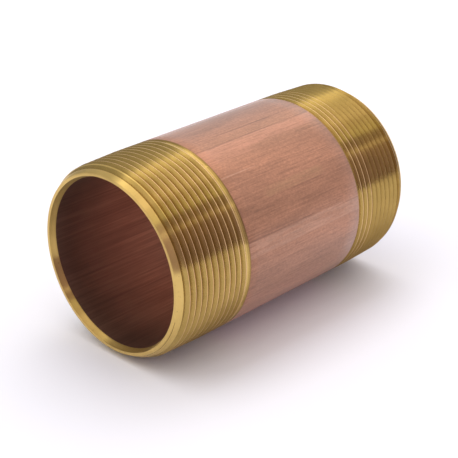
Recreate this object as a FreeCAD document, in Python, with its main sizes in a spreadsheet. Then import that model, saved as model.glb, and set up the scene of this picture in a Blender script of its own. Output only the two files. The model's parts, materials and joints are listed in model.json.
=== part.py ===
"""Pipe nipple, NPS 2 x 4 in: one length of red brass pipe with a tapered pipe thread (NPT) on each end.

Frame: the origin is the middle of the nipple on its axis, +X runs along the axis from the front end
to the back end, and +Z is up with the nipple lying on its side. Sizes are in millimetres and degrees.
"""

import FreeCAD, Part
import math
import os

import Sketcher

NODE = "nipple_body"

# A helical cut that takes away less than this share of its cutter's volume has missed the pipe.
LEAST_SHARE_CUT = 0.2

# The driving dimensions. The pipe is regular wall red brass pipe and the thread is the American
# standard taper pipe thread for NPS 2; the lengths to the run-outs are those of this nipple.
SIZES = {
    "outer_diameter": 60.325,
    "wall": 3.9624,
    "overall_length": 101.6,
    "threads_per_inch": 11.5,
    "taper_on_diameter": 0.0625,
    "pitch_diameter_at_face": 57.633,
    "flank_angle": 30.0,
    "crest_truncation": 0.055,
    "root_truncation": 0.055,
    "chamfer_angle": 30.0,
    "land_outer_diameter": 55.7,
    "land_inner_diameter": 53.8,
    "bevel_depth": 1.6,
    "bevel_inner_diameter": 52.8,
    "ream_depth": 2.0,
    "lead_in_turns": 1.2,
    "front_thread_length": 27.5,
    "front_end_angle": 218.0,
    "front_runout_turns": 1.25,
    "back_thread_length": 26.1,
    "back_end_angle": 39.0,
    "back_runout_turns": 1.25,
    "crest_rub": 0.02,
    "cutter_clearance": 0.04,
    "runout_clearance": 0.1,
}

# Expressions worked out from the sheet. Radii are measured from the axis. The thread's crest and root
# are cones: their radii are given at the end face, and grow along the nipple at half the taper.
PIPE_RADIUS = "Sizes.outer_diameter / 2"
BORE_RADIUS = "(Sizes.outer_diameter / 2 - Sizes.wall)"
HALF_LENGTH = "(Sizes.overall_length / 2)"
PITCH = "(25.4 / Sizes.threads_per_inch)"
CONE = "(Sizes.taper_on_diameter / 2)"
FLANK = "tan(Sizes.flank_angle * 1 deg)"
SHARP_HEIGHT = f"({PITCH} / 2 / {FLANK})"
CREST = f"(Sizes.pitch_diameter_at_face / 2 + {SHARP_HEIGHT} / 2 - Sizes.crest_truncation * {PITCH})"
ROOT = f"(Sizes.pitch_diameter_at_face / 2 - {SHARP_HEIGHT} / 2 + Sizes.root_truncation * {PITCH})"
ROOT_HALF_FLAT = f"(Sizes.root_truncation * {PITCH} * {FLANK})"
TOP_HALF_WIDTH = f"({ROOT_HALF_FLAT} + ({CREST} + Sizes.cutter_clearance - {ROOT}) * {FLANK})"
CHAMFER_LENGTH = (
    f"(({CREST} - Sizes.land_outer_diameter / 2) / (tan(Sizes.chamfer_angle * 1 deg) - {CONE}))"
)
RUBBED_RADIUS = f"({PIPE_RADIUS} - Sizes.crest_rub)"
TAPER_LENGTH = f"(({RUBBED_RADIUS} - {CREST}) / {CONE})"


def make_sheet(document):
    """The spreadsheet of driving dimensions, one named cell a row."""
    sheet = document.addObject("Spreadsheet::Sheet", "Sizes")
    for row, (name, value) in enumerate(SIZES.items(), start=1):
        sheet.set(f"A{row}", name.replace("_", " "))
        sheet.set(f"B{row}", str(value))
        sheet.setAlias(f"B{row}", name)
    document.recompute()
    return sheet


def number(document, expression):
    """What an expression over the sheet comes to, as a plain number."""
    return float(document.getObject("Sizes").evalExpression(expression.replace("Sizes.", "")))


def origin_plane(body, role):
    return next(item for item in body.Origin.OriginFeatures if item.Role == role)


def draw_outline(sketch, corners):
    """A closed outline, each corner held by two expressions: the place along the axis, and the radius."""
    document = sketch.Document
    points = [FreeCAD.Vector(number(document, x), number(document, r), 0) for x, r in corners]
    for start, end in zip(points, points[1:] + points[:1]):
        sketch.addGeometry(Part.LineSegment(start, end), False)
    for edge in range(len(points)):
        sketch.addConstraint(Sketcher.Constraint("Coincident", edge, 2, (edge + 1) % len(points), 1))
    for edge, (x, r) in enumerate(corners):
        for kind, expression, value in (("DistanceX", x, points[edge].x), ("DistanceY", r, points[edge].y)):
            place = sketch.addConstraint(Sketcher.Constraint(kind, edge, 1, value))
            sketch.setExpression(f"Constraints[{place}]", expression)
    document.recompute()


def end_corners(side, end):
    """The corners of one end of the blank, from the bore round to the barrel: end is -1 front, 1 back.

    The chamfer and the cone of the full threads are turned. Behind them the thread's crests are the
    pipe's own skin, which the threading die only rubs down by a hair.
    """
    outline = [
        ("Sizes.ream_depth", BORE_RADIUS),
        ("Sizes.bevel_depth", "Sizes.bevel_inner_diameter / 2"),
        ("0", "Sizes.land_inner_diameter / 2"),
        ("0", "Sizes.land_outer_diameter / 2"),
        (CHAMFER_LENGTH, f"{CREST} + {CHAMFER_LENGTH} * {CONE}"),
        (TAPER_LENGTH, RUBBED_RADIUS),
        (f"Sizes.{side}_thread_length", PIPE_RADIUS),
    ]
    return [(f"{end} * ({HALF_LENGTH} - {depth})", radius) for depth, radius in outline]


def make_blank(body):
    """The turned blank: pipe, with a cone, a chamfer, a land and a reamed bevel at each end."""
    section = body.newObject("Sketcher::SketchObject", "blank_section")
    section.AttachmentSupport = [(origin_plane(body, "XZ_Plane"), "")]
    section.MapMode = "FlatFace"
    draw_outline(section, end_corners("back", 1) + end_corners("front", -1)[::-1])
    blank = body.newObject("PartDesign::Revolution", "blank")
    blank.Profile = (section, [""])
    blank.ReferenceAxis = (section, ["H_Axis"])
    blank.Angle = 360
    body.Document.recompute()
    return blank


def groove_corners(distance, end):
    """The cutter's section where it stands a distance in from an end face: end is -1 front, 1 back."""
    centre = f"{end} * ({HALF_LENGTH} - ({distance}))"
    root = f"{ROOT} + ({distance}) * {CONE}"
    top = f"{CREST} + ({distance}) * {CONE} + Sizes.cutter_clearance"
    return [
        (f"{centre} - {ROOT_HALF_FLAT}", root),
        (f"{centre} + {ROOT_HALF_FLAT}", root),
        (f"{centre} + {TOP_HALF_WIDTH}", top),
        (f"{centre} - {TOP_HALF_WIDTH}", top),
    ]


def radial(angle):
    """The direction out from the axis at an angle turned from +Z, the way a right-hand thread turns."""
    turn = math.radians(angle)
    return FreeCAD.Vector(0, -math.sin(turn), math.cos(turn))


def facing(first, second, third, origin):
    """The placement whose own X, Y and Z point along three directions."""
    return FreeCAD.Placement(origin, FreeCAD.Rotation(first, second, third, "XYZ"))


def make_cutter(document, name, distance, angle, turns, growth, end):
    """A right-hand helical cutter going inwards from a distance in from an end face.

    It starts at an angle about the axis, and gains its growth in radius in each turn.
    """
    along = FreeCAD.Vector(1, 0, 0)
    inwards = along * -end
    outwards = radial(number(document, angle))

    section = document.addObject("Sketcher::SketchObject", f"{name}_section")
    draw_outline(section, groove_corners(distance, end))
    section.Placement = facing(along, outwards, along.cross(outwards), FreeCAD.Vector())

    path = document.addObject("Part::Helix", f"{name}_path")
    path.setExpression("Pitch", PITCH)
    path.setExpression("Height", f"({turns}) * {PITCH}")
    path.setExpression("Radius", f"{ROOT} + ({distance}) * {CONE}")
    path.setExpression("Angle", f"atan(({growth}) / {PITCH})")
    path.SegmentLength = 1
    start = along * number(document, f"{end} * ({HALF_LENGTH} - ({distance}))")
    path.Placement = facing(outwards, inwards.cross(outwards), inwards, start)

    cutter = document.addObject("Part::Sweep", name)
    cutter.Sections = [section]
    cutter.Spine = (path, [])
    cutter.Solid = True
    cutter.Frenet = True
    document.recompute()
    check_shape(name, cutter.Shape)
    return cutter


def cut_away(document, name, base, tool):
    """What is left of the base without the tool, once it is sure that the cut took metal away."""
    cut = document.addObject("Part::Cut", name)
    cut.Base = base
    cut.Tool = tool
    document.recompute()
    removed = base.Shape.Volume - cut.Shape.Volume
    print(f"{name}: removed {removed:.1f} mm3 of a cutter of {tool.Shape.Volume:.1f} mm3")
    if removed < LEAST_SHARE_CUT * tool.Shape.Volume:
        raise RuntimeError(f"{name} removed only {removed:.1f} mm3")
    return cut


def cut_thread(document, base, side, end):
    """One tapered thread: the full groove, then a run-out where the cutter climbs out of the pipe."""
    length = f"Sizes.{side}_thread_length"
    runout_turns = f"Sizes.{side}_runout_turns"
    lead_in = f"-(Sizes.lead_in_turns * {PITCH})"
    full_length = f"({length} - {runout_turns} * {PITCH})"
    depth_there = f"({PIPE_RADIUS} - {ROOT} - {full_length} * {CONE})"
    stretches = {
        f"{side}_thread": (lead_in, full_length, f"{PITCH} * {CONE}"),
        f"{side}_runout": (full_length, length, f"({depth_there} + Sizes.runout_clearance) / {runout_turns}"),
    }
    for name, (start, stop, growth) in stretches.items():
        turns = f"(({stop} - ({start})) / {PITCH})"
        angle = f"Sizes.{side}_end_angle + {end} * 360 * ({length} - ({start})) / {PITCH}"
        cutter = make_cutter(document, f"{name}_cutter", start, angle, turns, growth, end)
        base = cut_away(document, name, base, cutter)
    return base


def check_document(document):
    for item in document.Objects:
        if {"Invalid", "Error"} & set(item.State):
            raise RuntimeError(f"{item.Label} failed: {item.State}")


def check_shape(label, shape):
    if shape.isNull() or not shape.isValid() or len(shape.Solids) != 1:
        raise RuntimeError(f"{label} isn't one valid solid")


def main():
    document = FreeCAD.newDocument("pipe_nipple")
    make_sheet(document)
    blank = document.addObject("PartDesign::Body", "pipe_blank")
    make_blank(blank)
    nipple = cut_thread(document, blank, "front", -1)
    nipple = cut_thread(document, nipple, "back", 1)
    nipple.Label = NODE
    nipple.Placement = FreeCAD.Placement()
    document.recompute()
    check_document(document)
    check_shape(nipple.Label, nipple.Shape)
    box = nipple.Shape.optimalBoundingBox(False)
    print(f"{NODE}: {box.XLength:.3f} x {box.YLength:.3f} x {box.ZLength:.3f} mm, {nipple.Shape.Volume:.1f} mm3")
    os.makedirs("parts", exist_ok=True)
    nipple.Shape.exportStep(f"parts/{nipple.Label}.step")


main()
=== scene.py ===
"""The looks of a red brass pipe nipple: threads, barrel and bore as one detailed mesh, on a pale floor."""

import json
import math

import bpy
from mathutils import Matrix, Vector


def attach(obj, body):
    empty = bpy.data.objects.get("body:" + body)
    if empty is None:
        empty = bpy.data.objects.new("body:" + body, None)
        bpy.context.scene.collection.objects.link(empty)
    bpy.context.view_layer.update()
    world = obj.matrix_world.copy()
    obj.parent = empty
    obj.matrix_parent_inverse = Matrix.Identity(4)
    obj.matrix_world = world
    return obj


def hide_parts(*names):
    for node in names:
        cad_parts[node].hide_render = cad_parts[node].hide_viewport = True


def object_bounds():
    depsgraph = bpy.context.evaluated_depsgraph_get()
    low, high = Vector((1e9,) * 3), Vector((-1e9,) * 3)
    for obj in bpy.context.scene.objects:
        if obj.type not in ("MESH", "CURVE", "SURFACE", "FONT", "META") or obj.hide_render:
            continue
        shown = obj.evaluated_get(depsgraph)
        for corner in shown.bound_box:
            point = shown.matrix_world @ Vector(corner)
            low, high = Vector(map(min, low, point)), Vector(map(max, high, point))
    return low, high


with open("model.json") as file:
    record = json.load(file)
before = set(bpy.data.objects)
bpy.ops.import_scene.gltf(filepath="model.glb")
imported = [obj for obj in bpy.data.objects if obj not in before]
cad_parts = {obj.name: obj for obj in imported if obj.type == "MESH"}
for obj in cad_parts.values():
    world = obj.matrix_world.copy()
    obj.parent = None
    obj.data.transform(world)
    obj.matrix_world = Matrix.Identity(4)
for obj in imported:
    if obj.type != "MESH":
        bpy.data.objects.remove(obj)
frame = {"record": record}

cad_low, cad_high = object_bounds()
mounts = {mount["name"]: mount for mount in frame["record"]["mounts"]}

MM = 0.001
MM_PER_INCH = 25.4
PIPE_RADIUS = mounts["barrel"]["dims"]["r_mm"] * MM
BORE_RADIUS = mounts["bore"]["dims"]["r_mm"] * MM
HALF_LENGTH = (cad_high.x - cad_low.x) / 2

# The taper thread, as the standard gives it: radii are at the end face and grow inwards with the cone.
THREADS_PER_INCH = 11.5
PITCH = MM_PER_INCH / THREADS_PER_INCH * MM
CONE = 1 / 32
FLANK = math.tan(math.radians(30))
PITCH_RADIUS = mounts["front_thread"]["dims"]["r_mm"] * MM
TRUNCATION = 0.055 * PITCH
HALF_HEIGHT = PITCH / 4 / FLANK
CREST = PITCH_RADIUS + HALF_HEIGHT - TRUNCATION
ROOT = PITCH_RADIUS - HALF_HEIGHT + TRUNCATION
ROOT_HALF_FLAT = TRUNCATION * FLANK

# A groove's rims are rounded over, with a share of the rounding inside the groove. Behind the cone, a crest
# wider than its pale line, which is painted highlight, has its rims rounded further, up to the rim's reach,
# and they have the colour of a cut.
CREST_ROUNDING = 0.02 * MM
CREST_HIGHLIGHT_WIDTH = 0.22 * MM
RIM_REACH = 0.12 * MM
RIM_SHARE = 0.5

# The die cuts with four chasers, whose leading teeth are ground off to a throat cone. Where they stopped,
# the last grooves have a sloped floor, and get shallower by one step at each chaser. The floor's outer lip
# is darker than the rest of it.
# The floor's lighter colour is painted highlight, for the bright light that its slope catches.
CHASERS = 4
THROAT_SLOPE = math.tan(math.radians(18))
THROAT_STEP = PITCH / CHASERS
THROAT_LIP = 0.5 * MM

# The turned ends: the chamfer outside, then the flat land, the bevel and the reamed cone inside.
CHAMFER_SLOPE = math.tan(math.radians(30))
LAND_OUTER = 27.85 * MM
LAND_INNER = 26.9 * MM
LAND_ROUNDING = 0.06 * MM
BEVEL_DEPTH = 1.6 * MM
BEVEL_INNER = 26.4 * MM
REAM_DEPTH = 2.0 * MM
CHAMFER_LENGTH = (CREST - LAND_OUTER) / (CHAMFER_SLOPE - CONE)
TAPER_LENGTH = (PIPE_RADIUS - CREST) / CONE

# Each end: its side along the axis, and where its last chaser stopped: the angle, how deep in from the
# end face the groove's centre is there, and how far the throat cone comes out of the pipe beyond it.
ENDS = {
    "front": (-1, 117.0, 26.88 * MM, 1.45 * MM),
    "back": (1, -10.0, 24.22 * MM, 1.5 * MM),
}
BARREL_START = 31 * MM

# The crests on the cone have the colour of a cut at this end, where they don't show as pale lines: they carry
# no painted highlight.
DARK_CREST_END = "back"

# How grooves are found: a few spare turns are looked through, a place just inside a groove is a small
# length from its corner, and a groove's edge is found by halving the distance to it again and again.
SPARE_TURNS = 3
SMALL = 1e-7
HALVINGS = 40

# How the mesh is divided: slices evenly round the nipple, and one more a step's width, in degrees, past
# each chaser. Faces that meet at more than the sharp angle have a sharp edge between them.
SLICES = 360
STEP_WIDTH = 0.25
BARREL_COLUMNS = 16
BORE_COLUMNS = 12
SHARP_ANGLE = math.radians(38)

# The parts of the surface, each with a material of its own.
ZONES = ["cut", "crest", "throat", "edge", "skin", "bore", "turned"]


def blank_radius(depth):
    """The radius of the turned blank at a depth in from an end face."""
    chamfer = LAND_OUTER + depth * CHAMFER_SLOPE
    return min(chamfer, CREST + depth * CONE, PIPE_RADIUS)


class Groove:
    """The thread's groove where it crosses one slice: a V, filled in below the die's throat cone."""

    def __init__(self, end, index, turn):
        side, stop, last_centre, reach = ENDS[end]
        to_go = (stop - turn - 360 * index) * -side
        self.index = index
        self.centre = last_centre - to_go / 360 * PITCH
        self.root = ROOT + self.centre * CONE
        self.reach = reach + (math.ceil(to_go / 360 * CHASERS) - 1) * THROAT_STEP
        rise = PIPE_RADIUS - self.root + ROOT_HALF_FLAT / FLANK
        foot = (self.reach * THROAT_SLOPE - rise) / (THROAT_SLOPE + 1 / FLANK)
        knee = (rise - self.reach * THROAT_SLOPE) / (1 / FLANK - THROAT_SLOPE)
        self.foot = self.centre + min(foot, -ROOT_HALF_FLAT)
        self.knee = self.centre + max(knee, ROOT_HALF_FLAT)

    def radius(self, depth):
        off_centre = depth - self.centre
        flank = self.root + max(0.0, abs(off_centre) - ROOT_HALF_FLAT) / FLANK
        throat = PIPE_RADIUS - (self.reach - off_centre) * THROAT_SLOPE
        return max(flank, throat)

    def cuts(self, depth):
        return self.reach > 0 and self.radius(depth) < blank_radius(depth)

    def edge(self, inside, outside):
        """The depth at which the groove comes out of the blank, found by halving."""
        for _ in range(HALVINGS):
            middle = (inside + outside) / 2
            if self.cuts(middle):
                inside = middle
            else:
                outside = middle
        return inside


def grooves_in_slice(end, turn):
    """The grooves that cut one end of the blank at an angle, from the face inwards."""
    _, stop, last_centre, _ = ENDS[end]
    turns = math.ceil(last_centre / PITCH) + SPARE_TURNS
    first = round((stop - turn) / 360)
    grooves = [Groove(end, first + way, turn) for way in range(-turns, turns + 1)]
    grooves = [groove for groove in grooves if groove.foot > 0 and groove.cuts(groove.foot + SMALL)]
    return sorted(grooves, key=lambda groove: groove.centre)


def thread_points(end, turn):
    """The points of one end's grooves in one slice, as (tag, depth, radius, zone of the stretch after it).

    They run from the face inwards, and turn is the slice's angle.
    """
    points = []
    for groove in grooves_in_slice(end, turn):
        low = groove.edge(groove.foot, groove.centre - PITCH)
        high = groove.edge(groove.foot, groove.centre + PITCH)
        spare = (PITCH - (high - low) - CREST_HIGHLIGHT_WIDTH) / 2
        worn = spare > 0 and groove.centre > TAPER_LENGTH
        rounding = CREST_ROUNDING + (min(spare, RIM_REACH) if worn else 0.0)
        rim = "cut" if worn else "crest"
        floor = "throat" if groove.knee - groove.foot > THROAT_STEP else "cut"
        has_knee = groove.cuts(groove.knee + SMALL)
        floor_end = groove.knee if has_knee else high
        places = [
            ("low_rim", low - rounding, rim),
            ("low", low + min(rounding, groove.foot - low) * RIM_SHARE, "cut"),
            ("foot", groove.foot, floor),
        ]
        if floor_end - groove.foot > 2 * THROAT_LIP:
            places.append(("lip", floor_end - THROAT_LIP, "cut"))
        if has_knee:
            places.append(("knee", groove.knee, "cut"))
        innermost = places[-1][1]
        places += [
            ("high", high - min(rounding, high - innermost) * RIM_SHARE, rim),
            ("high_rim", high + rounding, "crest"),
        ]
        for name, depth, zone in places:
            if zone == "crest" and end == DARK_CREST_END and depth < TAPER_LENGTH:
                zone = "cut"
            radius = min(blank_radius(depth), groove.radius(depth))
            points.append([(end, groove.index, name), depth, radius, zone])
    return points


def with_breaks(end, points):
    """The grooves' points with the blank's own corners put in where no groove has cut them away."""
    corners = [
        ("land_edge", 0.0, LAND_OUTER - LAND_ROUNDING),
        ("chamfer_start", LAND_ROUNDING, blank_radius(LAND_ROUNDING)),
        ("chamfer_end", CHAMFER_LENGTH, blank_radius(CHAMFER_LENGTH)),
        ("taper_end", TAPER_LENGTH, PIPE_RADIUS),
    ]
    merged = list(points)
    for name, depth, radius in corners:
        covered = any(
            low[1] <= depth <= high[1]
            for low, high in zip(points, points[1:])
            if low[0][2] != "high_rim"
        )
        if not covered:
            merged.append([(end, 0, name), depth, radius, "crest"])
    merged.sort(key=lambda point: point[1])
    for point, following in zip(merged, merged[1:]):
        middle = (point[1] + following[1]) / 2
        if point[3] == "crest" and middle < CHAMFER_LENGTH:
            point[3] = "turned"
    merged[-2][3] = "edge"
    merged[-1][3] = "skin"
    return merged


def slice_points(turn):
    """One closed outline round the pipe wall at an angle: (tag, x, radius, zone of the stretch after it)."""
    outline = []
    for tag, depth, radius, zone in with_breaks("front", thread_points("front", turn)):
        outline.append((tag, -HALF_LENGTH + depth, radius, zone))
    for column in range(BARREL_COLUMNS + 1):
        x = (HALF_LENGTH - BARREL_START) * (2 * column / BARREL_COLUMNS - 1)
        outline.append((("barrel", column, ""), x, PIPE_RADIUS, "skin"))
    back = with_breaks("back", thread_points("back", turn))
    for place in range(len(back) - 1, -1, -1):
        tag, depth, radius, _ = back[place]
        zone = back[place - 1][3] if place > 0 else "turned"
        outline.append((tag, HALF_LENGTH - depth, radius, zone))
    inside = [
        (0.0, LAND_INNER, "turned"),
        (BEVEL_DEPTH, BEVEL_INNER, "turned"),
        (REAM_DEPTH, BORE_RADIUS, "bore"),
    ]
    for row, (depth, radius, zone) in enumerate(inside):
        outline.append((("inside_back", row, ""), HALF_LENGTH - depth, radius, zone))
    for column in range(1, BORE_COLUMNS):
        x = (HALF_LENGTH - REAM_DEPTH) * (1 - 2 * column / BORE_COLUMNS)
        outline.append((("bore", column, ""), x, BORE_RADIUS, "bore"))
    for row, (depth, radius, _) in reversed(list(enumerate(inside))):
        outline.append((("inside_front", row, ""), -HALF_LENGTH + depth, radius, "turned"))
    return outline


def stitch(first, second, first_ids, second_ids):
    """Faces between two neighbouring outlines, with their zones: squares where tags match, else triangles."""
    in_first = {point[0] for point in first}
    in_second = {point[0] for point in second}
    i = j = 0
    faces = []
    while i < len(first) or j < len(second):
        next_i, next_j = (i + 1) % len(first), (j + 1) % len(second)
        a, b = first_ids[i % len(first)], second_ids[j % len(second)]
        c, d = first_ids[next_i], second_ids[next_j]
        zone = first[i % len(first)][3]
        if i < len(first) and j < len(second) and first[next_i][0] == second[next_j][0]:
            faces.append(((a, b, d, c), zone))
            i, j = i + 1, j + 1
        elif i < len(first) and first[next_i][0] not in in_second:
            faces.append(((a, b, c), zone))
            i += 1
        elif j < len(second) and second[next_j][0] not in in_first:
            faces.append(((a, b, d), second[j % len(second)][3]))
            j += 1
        else:
            raise RuntimeError(f"outlines don't match at {first[next_i][0]} and {second[next_j][0]}")
    return faces


def slice_angles():
    """Angles spaced evenly round the nipple, and one more just past each chaser, where the groove steps."""
    angles = {360 * step / SLICES for step in range(SLICES)}
    for side, stop, _, _ in ENDS.values():
        for chaser in range(CHASERS):
            angles.add((stop + 360 * chaser / CHASERS - side * STEP_WIDTH) % 360)
    return sorted(angles)


def build_nipple():
    """The whole nipple as one closed mesh, its grooves following the helix."""
    vertices, faces, outlines, ids = [], [], [], []
    turns = slice_angles()
    for turn in turns:
        outline = slice_points(turn)
        angle = math.radians(turn)
        start = len(vertices)
        for _, x, radius, _ in outline:
            vertices.append((x, -radius * math.sin(angle), radius * math.cos(angle)))
        outlines.append(outline)
        ids.append(list(range(start, len(vertices))))
    outlines.append(slice_points(360.0))
    ids.append(ids[0])
    for step in range(len(turns)):
        faces += stitch(outlines[step], outlines[step + 1], ids[step], ids[step + 1])
    mesh = bpy.data.meshes.new("nipple")
    mesh.from_pydata(vertices, [], [face for face, _ in faces])
    mesh.polygons.foreach_set("material_index", [ZONES.index(zone) for _, zone in faces])
    mesh.polygons.foreach_set("use_smooth", [True] * len(faces))
    mesh.update()
    nipple = bpy.data.objects.new("nipple", mesh)
    bpy.context.scene.collection.objects.link(nipple)
    return nipple


class Nodes:
    """A short way to write the nodes of a material or of the world."""

    def __init__(self, owner):
        self.owner = owner
        owner.use_nodes = True
        self.tree = owner.node_tree
        self.tree.nodes.clear()

    def add(self, kind, inputs=None, **settings):
        node = self.tree.nodes.new(kind)
        for name, value in settings.items():
            setattr(node, name, value)
        for name, value in (inputs or {}).items():
            self.put(node.inputs[name], value)
        return node

    def put(self, socket, value):
        if isinstance(value, bpy.types.NodeSocket):
            self.tree.links.new(value, socket)
        elif socket.type == "RGBA":
            socket.default_value = (*value[:3], 1.0)
        else:
            socket.default_value = value

    def math(self, operation, *values):
        node = self.add("ShaderNodeMath", operation=operation)
        for socket, value in zip(node.inputs, values):
            self.put(socket, value)
        return node.outputs[0]

    def average(self, first, second, share):
        """A share of the first value, with the rest made up by the second."""
        rest = self.math("MULTIPLY", second, 1 - share)
        return self.math("ADD", self.math("MULTIPLY", first, share), rest)

    def remap(self, value, low, high, low_result=0.0, high_result=1.0):
        """A smooth step from one result to another as a value goes from low to high."""
        inputs = {"Value": value, "From Min": low, "From Max": high}
        inputs.update({"To Min": low_result, "To Max": high_result})
        return self.add("ShaderNodeMapRange", inputs, interpolation_type="SMOOTHSTEP").outputs[0]

    def noise(self, stretch, scale, detail, roughness):
        """Noise over the object, drawn out along each axis by a stretch of less than one."""
        place = self.add("ShaderNodeTexCoord").outputs["Object"]
        vector = self.add("ShaderNodeMapping", {"Vector": place, "Scale": stretch}).outputs["Vector"]
        inputs = {"Vector": vector, "Scale": scale, "Detail": detail, "Roughness": roughness}
        return self.add("ShaderNodeTexNoise", inputs).outputs["Fac"]

    def ramp(self, factor, *stops):
        node = self.add("ShaderNodeValToRGB", {"Fac": factor})
        elements = node.color_ramp.elements
        while len(elements) < len(stops):
            elements.new(1.0)
        for element, (place, color) in zip(elements, stops):
            element.position = place
            element.color = (*color, 1.0)
        return node.outputs["Color"]

    def mix(self, factor, first, second, blend="MIX"):
        node = self.add("ShaderNodeMix", data_type="RGBA", blend_type=blend)
        self.put(node.inputs[0], factor)
        self.put(node.inputs[6], first)
        self.put(node.inputs[7], second)
        return node.outputs[2]

    def bump(self, height):
        return self.add("ShaderNodeBump", {"Height": height, **BUMP}).outputs[0]

    def round_the_axis(self):
        return self.add("ShaderNodeTangent", direction_type="RADIAL", axis="X").outputs[0]

    def where(self):
        """The place on the object, as three numbers."""
        place = self.add("ShaderNodeTexCoord").outputs["Object"]
        return self.add("ShaderNodeSeparateXYZ", {"Vector": place})

    def place(self):
        """The place along the axis in millimetres, and the angle round it in degrees."""
        where = self.where()
        along = self.math("DIVIDE", where.outputs["X"], MM)
        turn = self.math("ARCTAN2", self.math("MULTIPLY", where.outputs["Y"], -1), where.outputs["Z"])
        return along, self.math("DEGREES", turn)

    def within(self, value, low, high, softness):
        """One between low and high, falling to nothing over the softness beyond them."""
        rise = self.remap(value, low - softness, low)
        fall = self.remap(value, high, high + softness, 1.0, 0.0)
        return self.math("MULTIPLY", rise, fall)

    def finish(self, kind, inputs, output):
        shader = self.add(kind, inputs)
        self.put(self.add(output).inputs["Surface"], shader.outputs[0])
        return self.owner

    def surface(self, inputs):
        return self.finish("ShaderNodeBsdfPrincipled", inputs, "ShaderNodeOutputMaterial")


# How far the metal's grain stands out as bumps.
BUMP = {"Strength": 0.2, "Distance": 0.02 * MM}

# A noise is given by its stretch along X, Y and Z, its scale, its detail and its roughness. Its limits are
# the values between which it takes effect.
RINGS = ((1, 0.02, 0.02), 9000, 3, 0.7)
STAIN = ((1, 1, 1), 220, 6, 0.65)
STAIN_LIMITS = (0.3, 0.7)
PITS = ((1, 1, 1), 1500, 2, 0.5)
PIT_LIMITS = (0.70, 0.76)

# Each brass that a tool has cut: its darker and its lighter colour, its roughness, and its anisotropy.
BRASSES = {
    "cut": ((0.405, 0.275, 0.084), (0.485, 0.330, 0.103), 0.25, 1.0),
    # The crest's pale colour is painted highlight, the thin lines of light along the crests.
    "crest": ((0.74, 0.48, 0.27), (0.90, 0.60, 0.34), 0.4, 0.3),
    # The throat floor's lighter colour is painted highlight.
    "throat": ((0.58, 0.40, 0.135), (0.66, 0.46, 0.16), 0.24, 1.0),
    "edge": ((0.24, 0.14, 0.06), (0.32, 0.19, 0.08), 0.4, 0.5),
    "turned": ((0.63, 0.435, 0.145), (0.72, 0.505, 0.170), 0.30, 1.0),
}
QUARTER_TURN = 0.25
PIT_COLOR = (0.08, 0.045, 0.02)
PIT_STRENGTH = 0.5


def make_brass(zone):
    """Brass that a tool has cut: fine rings round the axis, a little stain, and a few dark pits."""
    dark, light, roughness, anisotropy = BRASSES[zone]
    nodes = Nodes(bpy.data.materials.new(f"{zone}_brass"))
    pits = nodes.remap(nodes.noise(*PITS), *PIT_LIMITS)
    color = nodes.ramp(nodes.noise(*STAIN), *zip(STAIN_LIMITS, (dark, light)))
    color = nodes.mix(nodes.math("MULTIPLY", pits, PIT_STRENGTH), color, PIT_COLOR)
    return nodes.surface({
        "Base Color": color,
        "Metallic": 1.0,
        "Roughness": roughness,
        "Anisotropic": anisotropy,
        "Anisotropic Rotation": QUARTER_TURN,
        "Normal": nodes.bump(nodes.noise(*RINGS)),
        "Tangent": nodes.round_the_axis(),
    })


# The barrel's streaks, patches and flecks run along it. Its mottle is nearly even.
STREAKS = ((0.03, 1, 1), 2000, 5, 0.7)
PATCHES = ((0.3, 1, 1), 70, 5, 0.6)
STREAK_SHARE = 0.5
SKIN_LIMITS = (0.38, 0.62)
SKIN_COLORS = ((0.315, 0.144, 0.080), (0.515, 0.241, 0.139))
FLECKS = ((0.03, 1, 1), 2600, 3, 0.6)
FLECK_LIMITS = (0.56, 0.74)
FLECK_STRENGTH = 0.40
MOTTLE = ((0.7, 1, 1), 1500, 5, 0.7)
MOTTLE_LIMITS = (0.3, 0.7)
MOTTLE_DEPTH = 0.14

# The barrel's marks: from one angle to another with a softness, all in degrees, from one place to another
# along the axis in millimetres, and how far the colour there goes to which other colour. A mark wanders a
# little round the barrel, fades out beyond its ends, and is fainter in places. The angles and places were
# set from the photograph, and shifted by a formula when the camera was fitted again.
SALMON = (0.78, 0.36, 0.24)
PALE = (0.85, 0.62, 0.48)
DARK_LINE = (0.16, 0.07, 0.045)
OLIVE = (0.47, 0.31, 0.14)
WANDER = ((1, 0.2, 0.2), 120, 4, 0.6)
WANDER_WIDTH = 0.8
BREAKS = ((0.12, 1, 1), 900, 3, 0.7)
BREAK_LIMITS = (0.36, 0.58)
FAINTEST = 0.35
MARK_FADE = 4.0
BARREL_MARKS = [
    (15.9, 16.3, 0.5, -25, 28, 0.45, DARK_LINE),
    (17.0, 23.8, 1.2, -25, 28, 0.32, SALMON),
    (24.9, 27.4, 1.0, -25, -7, 0.20, SALMON),
    (8.2, 8.7, 0.4, -9, 10, 0.40, DARK_LINE),
    (37.4, 37.8, 0.4, -25, -11, 0.12, PALE),
    (51.6, 56.3, 1.0, -9, 12, 0.20, OLIVE),
    (57.2, 57.6, 0.4, -9, 12, 0.35, DARK_LINE),
    (61.5, 61.9, 0.4, -25, -11, 0.30, DARK_LINE),
    (74.0, 74.3, 0.4, -25, 0, 0.30, DARK_LINE),
    (75.9, 76.3, 0.4, -25, 4, 0.55, DARK_LINE),
    (77.4, 85.0, 1.5, -25, 28, 0.12, PALE),
]


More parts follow.
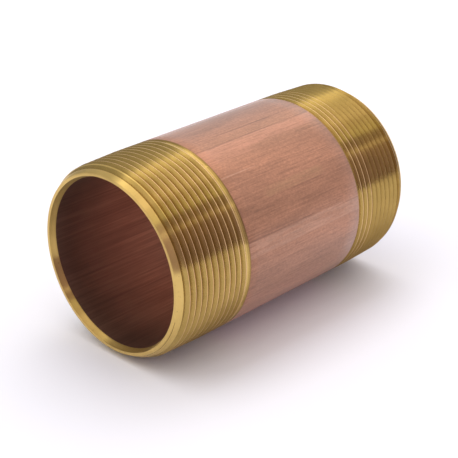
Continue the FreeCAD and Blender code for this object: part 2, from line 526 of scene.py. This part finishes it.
def make_pipe_skin():
    """Drawn pipe as it came: dull pink brass, with streaks and marks that run along it."""
    nodes = Nodes(bpy.data.materials.new("pipe_skin"))
    along, turn = nodes.place()
    streaks = nodes.noise(*STREAKS)
    blend = nodes.average(streaks, nodes.noise(*PATCHES), STREAK_SHARE)
    color = nodes.ramp(blend, *zip(SKIN_LIMITS, SKIN_COLORS))
    flecks = nodes.remap(nodes.noise(*FLECKS), *FLECK_LIMITS)
    color = nodes.mix(nodes.math("MULTIPLY", flecks, FLECK_STRENGTH), color, DARK_LINE)
    mottle = nodes.remap(nodes.noise(*MOTTLE), *MOTTLE_LIMITS, 1 - MOTTLE_DEPTH, 1 + MOTTLE_DEPTH)
    color = nodes.mix(1.0, color, mottle, "MULTIPLY")
    wander = nodes.math("MULTIPLY_ADD", nodes.noise(*WANDER), WANDER_WIDTH, -WANDER_WIDTH / 2)
    turn_there = nodes.math("ADD", turn, wander)
    broken = nodes.remap(nodes.noise(*BREAKS), *BREAK_LIMITS, FAINTEST, 1.0)
    for start, end, softness, first, last, strength, other in BARREL_MARKS:
        across = nodes.within(turn_there, start, end, softness)
        lengthways = nodes.within(along, first, last, MARK_FADE)
        share = nodes.math("MULTIPLY", nodes.math("MULTIPLY", across, lengthways), broken)
        color = nodes.mix(nodes.math("MULTIPLY", share, strength), color, other)
    return nodes.surface({
        "Base Color": color,
        "Metallic": 0.85,
        "Roughness": 0.5,
        "Coat Weight": 0.75,
        "Coat Roughness": 0.25,
        "Coat IOR": 1.5,
        "Anisotropic": 0.5,
        "Normal": nodes.bump(streaks),
        "Tangent": nodes.round_the_axis(),
    })


# The bore's streaks, patches and colours. The bottom and the mouths keep only a share of the plain colour,
# as painted shade, and from the inner light's depth inwards it has a gain over it, as painted light from the
# other end.
BORE_STREAKS = ((0.02, 1, 1), 1500, 4, 0.6)
BORE_PATCHES = ((0.3, 1, 1), 90, 5, 0.6)
BORE_STREAK_SHARE = 0.55
BORE_LIMITS = (0.36, 0.5, 0.64)
BORE_COLORS = ((0.29, 0.142, 0.100), (0.40, 0.20, 0.138), (0.53, 0.275, 0.188))
BOTTOM_SHADE_SHARE = 0.85
MOUTH_SHADE_SHARE = 0.36
INNER_LIGHT_DEPTH = 36 * MM
INNER_LIGHT_GAIN = 1.5


def make_bore_skin():
    """The inside of the pipe: dark red oxide with fine streaks along it, painted shade at the bottom and the
    mouths, and painted light deeper in.
    """
    nodes = Nodes(bpy.data.materials.new("bore_skin"))
    streaks = nodes.noise(*BORE_STREAKS)
    blend = nodes.average(streaks, nodes.noise(*BORE_PATCHES), BORE_STREAK_SHARE)
    color = nodes.ramp(blend, *zip(BORE_LIMITS, BORE_COLORS))
    where = nodes.where()
    # Painted shade: darker towards the bottom of the bore.
    bottom = nodes.remap(where.outputs["Z"], -BORE_RADIUS, 0.0, BOTTOM_SHADE_SHARE, 1.0)
    depth = nodes.math("SUBTRACT", HALF_LENGTH, nodes.math("ABSOLUTE", where.outputs["X"]))
    # Painted shade near the mouths, and painted light deeper in, for light coming through the other end.
    inwards = nodes.remap(depth, REAM_DEPTH, INNER_LIGHT_DEPTH, MOUTH_SHADE_SHARE, INNER_LIGHT_GAIN)
    color = nodes.mix(1.0, color, nodes.math("MULTIPLY", bottom, inwards), "MULTIPLY")
    return nodes.surface({
        "Base Color": color,
        "Metallic": 0.6,
        "Roughness": 0.45,
        "Normal": nodes.bump(streaks),
    })


# The camera stands off the front end, on the -Y side, and looks down at the nipple. Its numbers come from
# a fit to the photograph's outlines.
CAMERA_AZIMUTH = math.radians(-46.16)
CAMERA_ELEVATION = math.radians(25.41)
CAMERA_DISTANCE = 405.8 * MM
CAMERA_SIDEWAYS = -0.64 * MM
CAMERA_UP = -5.18 * MM
CAMERA_LENS = 101.9
SENSOR_WIDTH = 36
CLIP_START = 10 * MM


def make_camera():
    """Back points from the nipple to the camera, and the camera is shifted a little across its view."""
    back = Vector((
        math.sin(CAMERA_AZIMUTH) * math.cos(CAMERA_ELEVATION),
        -math.cos(CAMERA_AZIMUTH) * math.cos(CAMERA_ELEVATION),
        math.sin(CAMERA_ELEVATION),
    ))
    right = Vector((math.cos(CAMERA_AZIMUTH), math.sin(CAMERA_AZIMUTH), 0))
    up = back.cross(right)
    camera = bpy.data.objects.new("camera", bpy.data.cameras.new("camera"))
    bpy.context.scene.collection.objects.link(camera)
    camera.data.lens = CAMERA_LENS
    camera.data.sensor_width = SENSOR_WIDTH
    camera.data.clip_start = CLIP_START
    camera.location = back * CAMERA_DISTANCE + right * CAMERA_SIDEWAYS + up * CAMERA_UP
    camera.rotation_euler = Matrix((right, up, back)).transposed().to_euler()
    bpy.context.scene.camera = camera


# The room round the nipple, as strips of light along it: one set past its front end, on the left of the
# photograph, and one past its back end. A strip is placed by the angle round the axis, in degrees, at which
# the pipe mirrors it towards the photographer's place: the side and the height are the direction of that
# place from the nipple. The angles were listed, and shifted by a formula when the camera was fitted
# again. The colours were set against the brightness measured in the photograph.
STRIP_SIDE = 0.6256
STRIP_HEIGHT = 0.4290
STRIP_FIRST = -45.0
STRIP_LAST = 80.0
ROOM_STRENGTH = 3.0
LEFT_STRIPS = [
    (-45.0, (0.42, 0.41, 0.40)),
    (-12.0, (0.47, 0.46, 0.45)),
    (0.3, (0.56, 0.55, 0.54)),
    (5.3, (0.80, 0.79, 0.74)),
    (6.9, (1.05, 1.03, 0.98)),
    (9.2, (1.48, 1.44, 1.30)),
    (12.4, (1.26, 1.20, 1.06)),
    (17.4, (0.94, 0.89, 0.81)),
    (24.5, (0.96, 0.89, 0.83)),
    (31.5, (1.08, 1.00, 0.93)),
    (35.0, (0.78, 0.70, 0.62)),
    (44.2, (0.82, 0.79, 0.62)),
    (45.4, (0.39, 0.32, 0.35)),
    (51.0, (0.40, 0.31, 0.36)),
    (51.6, (0.87, 0.78, 0.77)),
    (53.7, (0.87, 0.78, 0.77)),
    (54.3, (0.44, 0.33, 0.41)),
    (64.7, (0.41, 0.31, 0.42)),
    (80.0, (0.38, 0.29, 0.38)),
]
RIGHT_STRIPS = [
    (-45.0, (0.54, 0.55, 0.57)),
    (5.3, (0.84, 0.83, 0.85)),
    (9.4, (0.95, 0.91, 0.88)),
    (12.4, (1.25, 1.19, 1.10)),
    (24.5, (1.22, 1.14, 1.06)),
    (32.5, (0.99, 0.91, 0.89)),
    (45.6, (0.84, 0.80, 0.80)),
    (60.7, (0.75, 0.71, 0.72)),
    (80.0, (0.58, 0.55, 0.59)),
]

# The left set gives way to the right one between two directions along X, and the room gets brighter
# overhead, by a gain, between two directions along Z.
LEFT_TO_RIGHT = (-0.2, 0.4)
OVERHEAD = (0.1, 0.7)
OVERHEAD_GAIN = 0.30


def make_room():
    """The strips of light, brighter overhead, seen by the camera as plain white."""
    nodes = Nodes(bpy.data.worlds.new("studio_room"))
    direction = nodes.add("ShaderNodeTexCoord").outputs["Generated"]
    toward = nodes.add("ShaderNodeSeparateXYZ", {"Vector": direction})
    side = nodes.math("SUBTRACT", STRIP_SIDE, toward.outputs["Y"])
    height = nodes.math("ADD", toward.outputs["Z"], STRIP_HEIGHT)
    angle = nodes.math("DEGREES", nodes.math("ARCTAN2", side, height))
    reach = STRIP_LAST - STRIP_FIRST
    factor = nodes.math("DIVIDE", nodes.math("SUBTRACT", angle, STRIP_FIRST), reach)
    halves = []
    for strips in (LEFT_STRIPS, RIGHT_STRIPS):
        stops = []
        for place, color in strips:
            stops.append(((place - STRIP_FIRST) / reach, [value / ROOM_STRENGTH for value in color]))
        halves.append(nodes.ramp(factor, *stops))
    room = nodes.mix(nodes.remap(toward.outputs["X"], *LEFT_TO_RIGHT), *halves)
    overhead = nodes.remap(toward.outputs["Z"], *OVERHEAD, 1.0, 1.0 + OVERHEAD_GAIN)
    room = nodes.mix(1.0, room, overhead, "MULTIPLY")
    seen = nodes.add("ShaderNodeLightPath").outputs["Is Camera Ray"]
    color = nodes.mix(seen, room, (1, 1, 1))
    bpy.context.scene.world = nodes.finish(
        "ShaderNodeBackground", {"Color": color, "Strength": ROOM_STRENGTH}, "ShaderNodeOutputWorld"
    )


# The light that brings up the floor. It isn't mirrored in the brass, whose bands come from the room alone.
FLOOR_LIGHT_PLACE = (0.0, 0.42, 1.49)
FLOOR_LIGHT_SIZE = (2.4, 0.8)
FLOOR_LIGHT_POWER = 7.9
FLOOR_LIGHT_COLOR = (0.92, 0.97, 1.12)


def make_floor_light():
    """A large soft light over the floor."""
    data = bpy.data.lights.new("floor_light", "AREA")
    data.shape = "RECTANGLE"
    data.size, data.size_y = FLOOR_LIGHT_SIZE
    data.energy = FLOOR_LIGHT_POWER
    data.color = FLOOR_LIGHT_COLOR
    light = bpy.data.objects.new("floor_light", data)
    light.location = FLOOR_LIGHT_PLACE
    light.rotation_euler = Vector(FLOOR_LIGHT_PLACE).to_track_quat("Z", "Y").to_euler()
    light.visible_glossy = False
    bpy.context.scene.collection.objects.link(light)


# The floor's edges in metres. It reaches further past the back end, where the camera looks over it.
FLOOR_ENDS = (-0.3, 0.9)
FLOOR_SIDES = (-0.9, 0.9)
FLOOR_COLOR = (0.875, 0.89, 0.955)


def make_floor():
    """A plain pale floor under the nipple."""
    mesh = bpy.data.meshes.new("floor")
    (left, right), (front, back) = FLOOR_ENDS, FLOOR_SIDES
    level = cad_low.z
    corners = [(left, front, level), (right, front, level), (right, back, level), (left, back, level)]
    mesh.from_pydata(corners, [], [(0, 1, 2, 3)])
    floor = bpy.data.objects.new("floor", mesh)
    bpy.context.scene.collection.objects.link(floor)
    nodes = Nodes(bpy.data.materials.new("pale_floor"))
    mesh.materials.append(nodes.surface({"Base Color": FLOOR_COLOR, "Roughness": 0.8}))


def main():
    make_camera()
    make_room()
    make_floor()
    make_floor_light()
    bpy.context.scene.view_settings.view_transform = "Standard"
    nipple = build_nipple()
    materials = {zone: make_brass(zone) for zone in BRASSES}
    materials["skin"] = make_pipe_skin()
    materials["bore"] = make_bore_skin()
    for zone in ZONES:
        nipple.data.materials.append(materials[zone])
    nipple.data.set_sharp_from_angle(angle=SHARP_ANGLE)
    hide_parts("nipple_body")
    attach(nipple, "root")


main()
